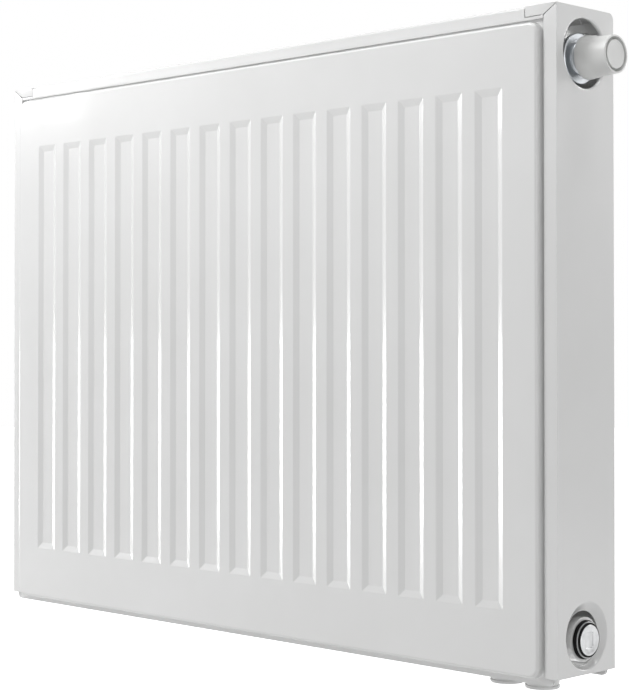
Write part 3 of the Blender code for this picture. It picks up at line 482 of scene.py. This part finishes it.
def addPanelSkin(name, node, p, toWall):
    bottom = panelLow.z
    face = panelLow.y
    seam = frontPlane + p["seamDepth"]
    rise = seam - face
    low = (leftEnd + p["footSide"] + p["draft"], bottom + p["footBottom"] + p["draft"])
    high = (rightEnd - p["footSide"] - p["draft"], coverTop - p["footTop"] - p["draft"])
    bm = roundedRectangle(low, high, p["corner"] - p["draft"], 8, face)

    # walls back to the seam, flaring a little, then the seam flange around them
    rim = [e for e in bm.edges if e.is_boundary]
    grown = bmesh.ops.extrude_edge_only(bm, edges=rim)
    foot = [v for v in grown["geom"] if isinstance(v, bmesh.types.BMVert)]
    footEdges = [e for e in grown["geom"] if isinstance(e, bmesh.types.BMEdge) and e.is_boundary]
    middle = Vector(((low[0] + high[0]) / 2, 0, (low[1] + high[1]) / 2))
    flare = (1 + 2 * p["draft"] / (high[0] - low[0]), 1, 1 + 2 * p["draft"] / (high[1] - low[1]))
    bmesh.ops.translate(bm, verts=foot, vec=(0, rise, 0))
    bmesh.ops.scale(bm, verts=foot, vec=flare, space=Matrix.Translation(-middle))

    outer = roundedRectangle(
        (leftEnd + p["seamSide"], bottom),
        (rightEnd - p["seamSide"], coverTop - p["seamTop"]),
        p["seamCorner"], 8, seam,
    )
    bmesh.ops.delete(outer, geom=list(outer.faces), context="FACES_ONLY")
    holder = bpy.data.meshes.new("seam outline")
    outer.to_mesh(holder)
    outer.free()
    before = set(bm.edges)
    bm.from_mesh(holder)
    bpy.data.meshes.remove(holder)
    seamEdges = [e for e in bm.edges if e not in before]
    bmesh.ops.bridge_loops(bm, edges=footEdges + seamEdges)
    bmesh.ops.recalc_face_normals(bm, faces=bm.faces)
    if sum(f.normal.y * f.calc_area() for f in bm.faces) > 0:
        bmesh.ops.reverse_faces(bm, faces=bm.faces)

    softenEdges(bm, p["edgeRound"], 6, 40, lambda e: max(v.co.y for v in e.verts) < face + flush)
    softenEdges(bm, p["footRound"], 3, 40, lambda e: min(v.co.y for v in e.verts) > seam - flush)

    # flutes: cut their outlines into the face, then press each one in
    z0, z1 = bottom + p["fluteBottom"], coverTop - p["fluteTop"]
    flat = max(bm.faces, key=lambda f: f.calc_area())
    pieces = [flat]
    for z in (z0, z1):
        cut = bmesh.ops.bisect_plane(
            bm, geom=pieces + list({e for f in pieces for e in f.edges}),
            plane_co=(0, 0, z), plane_no=(0, 0, 1), dist=hair,
        )
        pieces = [g for g in cut["geom"] if isinstance(g, bmesh.types.BMFace)]
    band = [f for f in pieces if z0 < f.calc_center_median().z < z1]
    band = [max(band, key=lambda f: f.calc_area())]
    for x in fluteCentres(p):
        for side in (-1, 1):
            cut = bmesh.ops.bisect_plane(
                bm, geom=band + list({e for f in band for e in f.edges}),
                plane_co=(x + side * p["width"] / 2, 0, 0), plane_no=(1, 0, 0), dist=hair,
            )
            band = [g for g in cut["geom"] if isinstance(g, bmesh.types.BMFace)]
    centres = fluteCentres(p)
    pressed = [
        f for f in band
        if min(abs(f.calc_center_median().x - x) for x in centres) < 0.001
    ]
    rims = {e for f in pressed for e in f.edges}
    made = bmesh.ops.inset_individual(
        bm, faces=pressed, thickness=p["wall"], depth=0, use_even_offset=True,
    )
    floors = list({v for f in pressed for v in f.verts})
    bmesh.ops.translate(bm, verts=floors, vec=(0, p["depth"], 0))
    walls = set(made["faces"])
    lines = {e for f in walls for e in f.edges}
    folds = [e for e in lines | rims if len(e.link_faces) == 2 and e.calc_face_angle(0) > 0.1]
    bmesh.ops.bevel(
        bm, geom=folds, offset=p["rimRound"], offset_type="OFFSET", segments=3,
        profile=0.5, affect="EDGES", clamp_overlap=True, material=-1,
    )
    if toWall:
        bmesh.ops.mirror(
            bm, geom=bm.verts[:] + bm.edges[:] + bm.faces[:],
            matrix=Matrix.Translation((0, -middleY, 0)), merge_dist=-1, axis="Y",
        )
        front = [v for v in bm.verts if v.co.y < middleY]
        bmesh.ops.delete(bm, geom=front, context="VERTS")
        bmesh.ops.recalc_face_normals(bm, faces=bm.faces)
        if sum(f.normal.y * f.calc_area() for f in bm.faces) < 0:
            bmesh.ops.reverse_faces(bm, faces=bm.faces)
    piece = addPiece(name, bm, "enamel", "radiator", node, 50, weighted=False)
    giveSheet(piece, p["sheet"])


addPanelSkin("panelFront", "front_sheet", panel, False)
addPanelSkin("panelRear", "rear_sheet", panel, True)
print("panels pressed")


# side covers

cover = {
    "flange": 0.014,
    "bend": 0.0025,
    "endBend": 0.0012,
    "rearCorner": 0.007,
    "tab": 0.0345,
    "tabHeight": 0.0093,
    "slit": 0.0009,
    "slitStart": 0.75,  # how far round the bend it starts, as a share of the bend
    "slitPast": 0.0002,
    "sheet": 0.001,
    "openingLift": 0.0042,
    "opening": 0.03125,
    "openingCurl": 0.0021,
    "openingLip": 0.0012,
    "web": 0.004,  # flat sheet kept round each opening
    "dish": 0.0300,
    "dishLift": 0.0035,
    "dishDepth": 0.006,
    # rounded edges of the dish, as (depth, radius) steps away from its lip and its foot
    "dishLip": [(0, 0.0010), (0.00015, 0.0004), (0.0006, -0.0003), (0.0012, -0.0009)],
    "dishFoot": [(0.0012, 0.0016), (0.0005, 0.0009), (0.0001, 0.0004), (0, 0)],
    "hole": 0.0243,
    "holeLift": 0.0008,
}


def facing(bm, axis, sign, at):
    # flat faces that look along one axis and lie on that plane
    return [
        f for f in bm.faces
        if f.normal[axis] * sign > 0.999 and abs(f.calc_center_median()[axis] - at) < flush
    ]


def cutFaces(bm, faces, point, normal):
    cut = bmesh.ops.bisect_plane(
        bm, geom=faces + list({e for f in faces for e in f.edges}),
        plane_co=point, plane_no=normal, dist=hair,
    )
    return [g for g in cut["geom"] if isinstance(g, bmesh.types.BMFace)]


def fillRound(bm, frame, loops, normal):
    # a flat sheet between a frame of edges and the loops inside it
    bmesh.ops.triangle_fill(
        bm, use_beauty=True, use_dissolve=False, edges=frame + loops, normal=normal,
    )


def circleLoop(bm, centre, radius, sides=72):
    turn = Matrix.Translation(centre) @ Matrix.Rotation(math.pi / 2, 4, "Y")
    made = bmesh.ops.create_circle(bm, cap_ends=False, radius=radius, segments=sides, matrix=turn)
    return list({e for v in made["verts"] for e in v.link_edges})


def curlLoop(bm, edges, centre, steps):
    # each step is (distance inwards along -X, new radius / old radius, how far down)
    for drop, grow, lower in steps:
        grown = bmesh.ops.extrude_edge_only(bm, edges=edges)
        verts = [g for g in grown["geom"] if isinstance(g, bmesh.types.BMVert)]
        edges = [g for g in grown["geom"] if isinstance(g, bmesh.types.BMEdge) and g.is_boundary]
        bmesh.ops.scale(bm, verts=verts, vec=(1, grow, grow), space=Matrix.Translation(-centre))
        bmesh.ops.translate(bm, verts=verts, vec=(-drop, 0, -lower))
        centre = centre - Vector((0, 0, lower))


def radiusSteps(line, lower=0.0):
    # (distance, radius) points as steps for curlLoop; the centre sinks in step with the depth
    deep = line[-1][0] - line[0][0]
    return [
        (b[0] - a[0], b[1] / a[1], lower * (b[0] - a[0]) / deep)
        for a, b in zip(line, line[1:])
    ]


def addSideCover(name, node, c, atLeft):
    face = rightEnd
    bm = bmesh.new()
    bmesh.ops.create_cube(bm, size=1)
    low = Vector((face - c["tab"], frontPlane, coverBottom))
    high = Vector((face, rearPlane, coverTop))
    bmesh.ops.scale(bm, verts=bm.verts, vec=high - low)
    bmesh.ops.translate(bm, verts=bm.verts, vec=(high + low) / 2)
    away = facing(bm, 0, -1, low.x) + facing(bm, 2, -1, low.z)
    bmesh.ops.delete(bm, geom=away, context="FACES")

    softenEdges(
        bm, c["rearCorner"], 8, 40,
        lambda e: min(v.co.y for v in e.verts) > rearPlane - flush
        and min(v.co.z for v in e.verts) > coverTop - flush,
    )
    upright = [e for e in bm.edges if len(e.link_faces) == 2 and e.calc_face_angle(0) > 0.7]
    along = [
        e for e in upright
        if abs(e.verts[0].co.z - e.verts[1].co.z) > 0.1 or abs(e.verts[0].co.x - e.verts[1].co.x) > 0.01
    ]
    bmesh.ops.bevel(
        bm, geom=along, offset=c["bend"], offset_type="OFFSET", segments=5,
        profile=0.5, affect="EDGES", clamp_overlap=True, material=-1,
    )
    softenEdges(bm, c["endBend"], 3, 40)

    # front and rear: a flange up the side and a tab along the top, parted by a slit
    inset = c["bend"] * c["slitStart"]
    start = Vector((face - inset, 0, coverTop - inset))
    end = Vector((face - c["flange"] - c["slitPast"], 0, coverTop - c["tabHeight"] - c["slitPast"]))
    slope = (end - start).normalized()
    across = Vector((slope.z, 0, -slope.x))
    for sign, y in ((-1, frontPlane), (1, rearPlane)):
        flat = facing(bm, 1, sign, y)
        flat = cutFaces(bm, flat, (face - c["flange"], 0, 0), (1, 0, 0))
        flat = cutFaces(bm, flat, (0, 0, coverTop - c["tabHeight"]), (0, 0, 1))
        for side in (-0.5, 0.5):
            flat = cutFaces(bm, flat, start + across * side * c["slit"], across)
        gone = []
        for f in flat:
            spot = f.calc_center_median()
            beside = spot.x < face - c["flange"] and spot.z < coverTop - c["tabHeight"]
            if beside or abs((spot - start).dot(across)) < c["slit"] / 2:
                gone.append(f)
        bmesh.ops.delete(bm, geom=gone, context="FACES")

    # the opening round the valve, curled in, and the dish round the plug
    r, k = c["opening"], c["openingCurl"]
    turns = [math.radians(15 * i) for i in range(7)]
    curl = [(k * (1 - math.cos(a)), r + k * (1 - math.sin(a))) for a in turns]
    curl.append((k + c["openingLip"], r))
    dish = [(d, c["dish"] + out) for d, out in c["dishLip"]]
    dish += [(c["dishDepth"] - d, c["hole"] + out) for d, out in c["dishFoot"]]
    sink = c["dishLift"] - c["holeLift"]
    cuts = ((valveZ + c["openingLift"], curl, 0.0), (plugZ + c["dishLift"], dish, sink))
    for z, line, lower in cuts:
        reach = line[0][1] + c["web"]
        web = max(facing(bm, 0, 1, face), key=lambda f: f.calc_area())
        parts = [web]
        for edge in (z - reach, z + reach):
            parts = cutFaces(bm, parts, (0, 0, edge), (0, 0, 1))
        middle = next(f for f in parts if abs(f.calc_center_median().z - z) < reach)
        border = list(middle.edges)
        bmesh.ops.delete(bm, geom=[middle], context="FACES_ONLY")
        centre = Vector((face, middleY, z))
        loop = circleLoop(bm, centre, line[0][1])
        fillRound(bm, border, loop, (1, 0, 0))
        curlLoop(bm, loop, centre, radiusSteps(line, lower))
    bmesh.ops.recalc_face_normals(bm, faces=bm.faces)
    if sum(f.normal.x * f.calc_area() for f in bm.faces) < 0:
        bmesh.ops.reverse_faces(bm, faces=bm.faces)
    if atLeft:
        toMiddle = Matrix.Translation((-middleX, 0, 0))
        bmesh.ops.scale(bm, verts=bm.verts, vec=(-1, 1, 1), space=toMiddle)
        bmesh.ops.reverse_faces(bm, faces=bm.faces)
    piece = addPiece(name, bm, "enamel", "radiator", node, 40, weighted=False)
    giveSheet(piece, c["sheet"])


addSideCover("sideCoverRight", "side_cover_right", cover, False)
addSideCover("sideCoverLeft", "side_cover_left", cover, True)
print("side covers folded")


# top grille

grille = {
    "lip": 0.0127,
    "bend": 0.0025,
    "rearBend": 0.007,
    "sheet": 0.0008,
    "gap": 0.0008,
    "slotWidth": 0.0075,
    "slotPitch": 0.0125,
    "slotEdge": 0.011,
    "slotEnd": 0.012,
}


def addGrille(g, c):
    left, right = leftEnd + c["tab"] + g["gap"], rightEnd - c["tab"] - g["gap"]
    bm = bmesh.new()
    bmesh.ops.create_cube(bm, size=1)
    low = Vector((left, frontPlane, coverTop - g["lip"]))
    high = Vector((right, rearPlane, coverTop))
    bmesh.ops.scale(bm, verts=bm.verts, vec=high - low)
    bmesh.ops.translate(bm, verts=bm.verts, vec=(high + low) / 2)
    away = facing(bm, 0, -1, left) + facing(bm, 0, 1, right) + facing(bm, 2, -1, low.z)
    bmesh.ops.delete(bm, geom=away, context="FACES")
    softenEdges(bm, g["rearBend"], 8, 40, lambda e: min(v.co.y for v in e.verts) > rearPlane - flush)
    softenEdges(bm, g["bend"], 5, 40)

    # strips of the lips run on below the tabs, to the side covers' flanges
    for sign, y in ((-1, frontPlane), (1, rearPlane)):
        flat = facing(bm, 1, sign, y)
        cutFaces(bm, flat, (0, 0, coverTop - c["tabHeight"] - g["gap"]), (0, 0, 1))
        toFlange = c["flange"] + g["gap"]
        for end, reach in ((left, leftEnd + toFlange), (right, rightEnd - toFlange)):
            strip = [
                e for e in bm.edges
                if e.is_boundary
                and all(abs(v.co.x - end) < hair and abs(v.co.y - y) < hair for v in e.verts)
                and max(v.co.z for v in e.verts) < coverTop - c["tabHeight"]
            ]
            grown = bmesh.ops.extrude_edge_only(bm, edges=strip)
            verts = [v for v in grown["geom"] if isinstance(v, bmesh.types.BMVert)]
            bmesh.ops.translate(bm, verts=verts, vec=(reach - end, 0, 0))

    # slots with round ends, punched across the top
    top = max(facing(bm, 2, 1, coverTop), key=lambda f: f.calc_area())
    border = list(top.edges)
    bmesh.ops.delete(bm, geom=[top], context="FACES_ONLY")
    room = rightEnd - leftEnd - 2 * (c["tab"] + g["slotEnd"])
    count = int((room - g["slotWidth"]) / g["slotPitch"]) + 1
    half = (rearPlane - frontPlane) / 2 - g["slotEdge"] - g["slotWidth"] / 2
    loops = []
    for i in range(count):
        x = middleX + (i - (count - 1) / 2) * g["slotPitch"]
        place = Matrix.Translation((x, middleY, coverTop)) @ Matrix.Rotation(math.pi / 16, 4, "Z")
        made = bmesh.ops.create_circle(
            bm, cap_ends=False, radius=g["slotWidth"] / 2, segments=16, matrix=place,
        )
        for sign in (-1, 1):
            verts = [v for v in made["verts"] if (v.co.y - middleY) * sign > 0]
            bmesh.ops.translate(bm, verts=verts, vec=(0, sign * half, 0))
        loops += list({e for v in made["verts"] for e in v.link_edges})
    fillRound(bm, border, loops, (0, 0, 1))
    bmesh.ops.recalc_face_normals(bm, faces=bm.faces)
    if sum(f.normal.z * f.calc_area() for f in bm.faces) < 0:
        bmesh.ops.reverse_faces(bm, faces=bm.faces)
    piece = addPiece("topGrille", bm, "enamel", "radiator", "top_grille", 40, weighted=False)
    giveSheet(piece, g["sheet"])


addGrille(grille, cover)
print("grille punched")


# valve

valve = {
    "base": 0.0017,
    "baseRadius": 0.0197,
    "band": 0.0038,
    "step": 0.014,
    "stepRadius": 0.0184,
    "endRadius": 0.0171,
    "rim": 0.0016,
    "recess": 0.0065,
    "floor": 0.003,
    "capRound": 0.00045,
    "mouth": 0.0008,
    "threadClear": 0.0004,
    "clear": 0.0003,
    "bandFall": (0.0012, 0.0005),  # (along, in) from the band to the sides
    "stepLead": (0.002, 0.0004),
    "stepDrop": 0.0003,
    "stepTail": (0.002, 0.0006),
    "recessTaper": 0.0006,
    "stem": 0.003,
    "push": 0.0129,
    "pushRound": 0.0004,
    "pushRim": 0.0014,
    "pushSlope": 0.0018,
    "pushDrop": 0.00015,
    "thread": 0.01475,
    "threadPitch": 0.0015,
    "threadDepth": 0.00075,
    "nose": 0.010,
    "spigot": 0.013,
    "setback": 0.0097,
    "collar": 0.004,
    "collarRadius": 0.023,
    "collarRound": 0.0007,
    "ringStart": 0.003,  # a step in the collar's face, outside the thread
    "ringDepth": 0.0004,
    "threadStart": 0.0006,
    "noseRound": 0.0006,
    "bore": 0.007,
    "boreFloor": 0.002,
    "stemHole": 0.0026,
    "shank": 0.0127,
    "shankEnd": 0.0357,
}
valveCentre = Vector((rightEnd, middleY, valveZ))


def addCap(v):
    reach = capHigh.x - rightEnd
    inner = v["thread"] + v["threadClear"]
    recess = reach - v["recess"]
    bandEnd = v["base"] + v["band"]
    profile = [
        (v["base"] + v["mouth"], inner), (v["base"], inner + v["mouth"]),
        (v["base"], v["baseRadius"]),
        (bandEnd, v["baseRadius"]),
        (bandEnd + v["bandFall"][0], v["baseRadius"] - v["bandFall"][1]),
        (v["step"] - v["stepLead"][0], v["stepRadius"] + v["stepLead"][1]),
        (v["step"], v["stepRadius"] - v["stepDrop"]),
        (v["step"] + v["stepTail"][0], v["stepRadius"] - v["stepTail"][1]),
        (reach, v["endRadius"]),
        (reach, v["endRadius"] - v["rim"]),
        (recess, v["endRadius"] - v["rim"] - v["recessTaper"]),
        (recess, v["stem"] + v["clear"]),
        (recess - v["floor"], v["stem"] + v["clear"]),
        (recess - v["floor"], inner),
    ]
    bm = turnedRing(profile, valveCentre, 96)
    softenEdges(bm, v["capRound"], 3, 35)
    addPiece("valveCap", bm, "plastic", "valve_cap", "valve_cap", 40)

    stemLow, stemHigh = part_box("cap_pusher")
    start, face = stemLow.x - rightEnd, stemHigh.x - rightEnd
    push = [
        (start, 0), (start, v["stem"]), (recess + v["clear"], v["stem"]),
        (recess + v["clear"], v["push"]), (face, v["push"]), (face, v["push"] - v["pushRim"]),
        (face - v["pushDrop"], v["push"] - v["pushSlope"]), (face - v["pushDrop"], 0),
    ]
    bm = turnedRing(push, valveCentre, 96)
    softenEdges(bm, v["pushRound"], 3, 35)
    addPiece("capFace", bm, "plastic", "cap_pusher", "cap_pusher", 40)


def addInsert(v):
    start = -v["shankEnd"]
    back = -v["setback"]
    front = back + v["collar"]
    root = v["thread"] - v["threadDepth"]
    ring = v["thread"] + v["ringStart"]
    profile = [
        (start, v["stemHole"]), (start, v["shank"]), (back, v["shank"]), (back, v["collarRadius"]),
        (front - v["collarRound"], v["collarRadius"]), (front, v["collarRadius"] - v["collarRound"]),
        (front, ring), (front - v["ringDepth"], ring - v["ringDepth"]),
        (front - v["ringDepth"], root),
    ]
    x = front + v["threadStart"]
    while x + v["threadPitch"] < v["nose"]:
        profile += [(x, root), (x + v["threadPitch"] / 2, v["thread"])]
        x += v["threadPitch"]
    profile += [(v["nose"] - v["noseRound"], root), (v["nose"], v["spigot"])]
    bottom = start + v["boreFloor"]
    profile += [(v["nose"], v["bore"]), (bottom, v["bore"]), (bottom, v["stemHole"])]
    bm = turnedRing(profile, valveCentre, 96)
    addPiece("valveInsert", bm, "nickel", "radiator", "valve_insert", 35)


addCap(valve)
addInsert(valve)
print("valve turned")


# plugs

plugSizes = {
    "radius": 0.0136,
    "reach": 0.0034,
    "face": 0.0006,
    "neck": 0.0118,
    "shank": 0.0090,
    "shankEnd": 0.0162,
    "base": 0.0029,
    "chamfer": 0.0003,
    "recess": 0.0070,
    "recessCorner": 0.0030,
    "recessDepth": 0.0012,
    "recessTaper": 0.93,
    "rim": 0.0026,
    "rimDrop": 0.0005,
    "rimSlope": 0.0006,
    "edgeRound": 0.00025,
    "gap": 0.0003,
    "seal": 0.0006,
    "sealRadius": 0.0155,
    "collar": 0.0015,
    "collarRadius": 0.0162,
    "baseSealRadius": 0.0173,
    "ringRound": {"rubber": 0.0004, "turned": 0.0002},
}


def addPlug(label, p, toLeft):
    sign = -1 if toLeft else 1
    centre = Vector((leftEnd if toLeft else rightEnd, middleY, plugZ))
    back = p["reach"] - p["face"]
    floor = p["reach"] - p["rimDrop"]
    rimInner = p["radius"] - p["rim"]
    profile = [
        (-p["shankEnd"], 0), (-p["shankEnd"], p["shank"]), (-p["base"], p["shank"]),
        (-p["base"], p["neck"]), (back, p["neck"]), (back, p["radius"]),
        (p["reach"] - p["chamfer"], p["radius"]), (p["reach"], p["radius"] - p["chamfer"]),
        (p["reach"], rimInner), (floor, rimInner - p["rimSlope"]),
    ]
    bm = turnedRing(profile, centre, 72, toLeft)

    # a square key recess with round corners, let into the face
    face = centre.x + sign * floor
    rim = [e for e in bm.edges if e.is_boundary]
    place = Matrix.Translation((face, middleY, plugZ)) @ Matrix.Rotation(math.pi / 2, 4, "Y")
    made = bmesh.ops.create_grid(bm, x_segments=1, y_segments=1, size=p["recess"], matrix=place)
    bmesh.ops.bevel(
        bm, geom=made["verts"], offset=p["recessCorner"], offset_type="OFFSET", segments=6,
        profile=0.5, affect="VERTICES", clamp_overlap=True, material=-1,
    )
    key = next(
        f for f in bm.faces
        if abs(f.calc_center_median().x - face) < hair and len(f.verts) > 8
    )
    mouth = list(key.edges)
    bmesh.ops.delete(bm, geom=[key], context="FACES_ONLY")
    grown = bmesh.ops.extrude_edge_only(bm, edges=mouth)
    verts = [v for v in grown["geom"] if isinstance(v, bmesh.types.BMVert)]
    inner = [
        e for e in grown["geom"]
        if isinstance(e, bmesh.types.BMEdge) and e.is_boundary and e not in mouth
        and all(v in verts for v in e.verts)
    ]
    bmesh.ops.translate(bm, verts=verts, vec=(-sign * p["recessDepth"], 0, 0))
    taper = (1, p["recessTaper"], p["recessTaper"])
    bmesh.ops.scale(bm, verts=verts, vec=taper, space=Matrix.Translation((0, -middleY, -plugZ)))
    bmesh.ops.edgeloop_fill(bm, edges=inner)
    fillRound(bm, rim, mouth, (sign, 0, 0))
    bmesh.ops.recalc_face_normals(bm, faces=bm.faces)
    softenEdges(bm, p["edgeRound"], 2, 50)
    addPiece(f"plug_{label}_turned", bm, "turned", "radiator", f"plug_{label}", 40)

    # the rings behind it, each a gap away from the next
    sealStart = back - p["gap"] - p["seal"]
    collarStart = sealStart - p["gap"] - p["collar"]
    baseSeal = collarStart - p["gap"] + p["base"]
    rings = (
        ("Seal", sealStart, p["seal"], p["sealRadius"], "rubber", "plug_seal_"),
        ("Collar", collarStart, p["collar"], p["collarRadius"], "turned", "plug_collar_"),
        ("BaseSeal", -p["base"], baseSeal, p["baseSealRadius"], "rubber", "plug_base_seal_"),
    )
    hole = p["neck"] + p["gap"]
    for word, start, thick, outer, finish, node in rings:
        end = start + thick
        profile = [(start, hole), (start, outer), (end, outer), (end, hole)]
        bm = turnedRing(profile, centre, 72, toLeft)
        softenEdges(bm, p["ringRound"][finish], 3, 50)
        addPiece(f"plug{word}_{label}", bm, finish, "radiator", node + label, 40)


addPlug("right", plugSizes, False)
addPlug("left", plugSizes, True)
print("plugs turned")


# connection sockets

socketSizes = {
    "radius": 0.0160,
    "body": 0.0156,
    "groove": 0.0147,
    "rim": 0.0028,
    "grooveTall": 0.0012,
    "bore": 0.01205,
    "thread": 0.0158,
    "pitch": 0.0018,
    "threadDepth": 0.0009,
    "threadEnd": 0.0012,
    "height": 0.0235,
    "mouth": 0.0012,
    "edge": 0.0004,
    "edgeTall": 0.0008,
    "rimEdge": 0.0003,
    "topEdge": 0.0006,
}


def addSocket(name, node, s, upperBore):
    low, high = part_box(node)
    x = (low.x + high.x) / 2
    rim, radius = s["rim"], s["radius"]
    top = rim + s["grooveTall"]
    profile = [
        (0, s["bore"] + s["mouth"]), (0, radius - s["edge"]), (s["edgeTall"], radius),
        (rim - s["rimEdge"], radius), (rim, radius - s["rimEdge"]), (rim, s["groove"]),
        (top, s["groove"]), (top, s["body"]), (s["height"] - s["topEdge"], s["body"]),
        (s["height"], s["body"] - s["topEdge"]), (s["height"], upperBore), (s["thread"], upperBore),
    ]
    z = s["thread"]
    while z - s["pitch"] > s["threadEnd"]:
        profile += [(z, s["bore"]), (z - s["pitch"] / 2, s["bore"] + s["threadDepth"])]
        z -= s["pitch"]
    profile.append((z, s["bore"]))
    # turned about X like every ring here, then stood on end
    bm = turnedRing(profile, Vector((0, 0, 0)), 96)
    upright = Matrix.Rotation(-math.pi / 2, 3, "Y")
    bmesh.ops.rotate(bm, verts=bm.verts, cent=(0, 0, 0), matrix=upright)
    bmesh.ops.translate(bm, verts=bm.verts, vec=(x, middleY, low.z))
    addPiece(name, bm, "enamel", "radiator", node, 35)


addSocket("supplySocket", "supply_socket", socketSizes, 0.0065)
addSocket("returnSocket", "return_socket", socketSizes, 0.0080)
print("sockets turned")


# hanging lugs, copied from the frame's solids with their edges broken

lug = {
    "edge": 0.0005,
    "flatWithin": 0.01,  # radians; flat faces that differ by less are merged
}


def addLug(name, node, g):
    bm = bmesh.new()
    bm.from_mesh(frame["nodes"][node].data)
    bmesh.ops.remove_doubles(bm, verts=bm.verts, dist=hair)
    bmesh.ops.dissolve_limit(
        bm, angle_limit=g["flatWithin"], verts=bm.verts, edges=bm.edges,
        use_dissolve_boundaries=False,
    )
    softenEdges(bm, g["edge"], 2, 40)
    addPiece(name, bm, "enamel", "radiator", node, 40)


for side in ("left", "right"):
    addLug(f"upperLug_{side}", f"upper_lug_{side}", lug)
    addLug(f"lowerLug_{side}", f"lower_lug_{side}", lug)
print("lugs refined")


# solids that keep their own shape and take a finish

keptNodes = {
    "innerEnamel": ["front_inner_sheet", "rear_inner_sheet", "front_convector", "rear_convector"],
    "enamel": [
        "upper_left_tee", "lower_left_tee", "return_cross", "valve_housing",
        "socket_bridge", "riser_pipe",
    ],
    "nickel": ["valve_spindle", "valve_spring", "vent_body"],
    "brass": ["valve_seat", "gland_nut", "vent_screw"],
    "rubber": ["valve_disc", "gland_seal", "vent_seal"],
}


def finishNodes(kept):
    for finish, names in kept.items():
        for name in names:
            node = frame["nodes"][name]
            for slot in node.material_slots:
                slot.material = finishes[finish]


finishNodes(keptNodes)
print("solids finished")
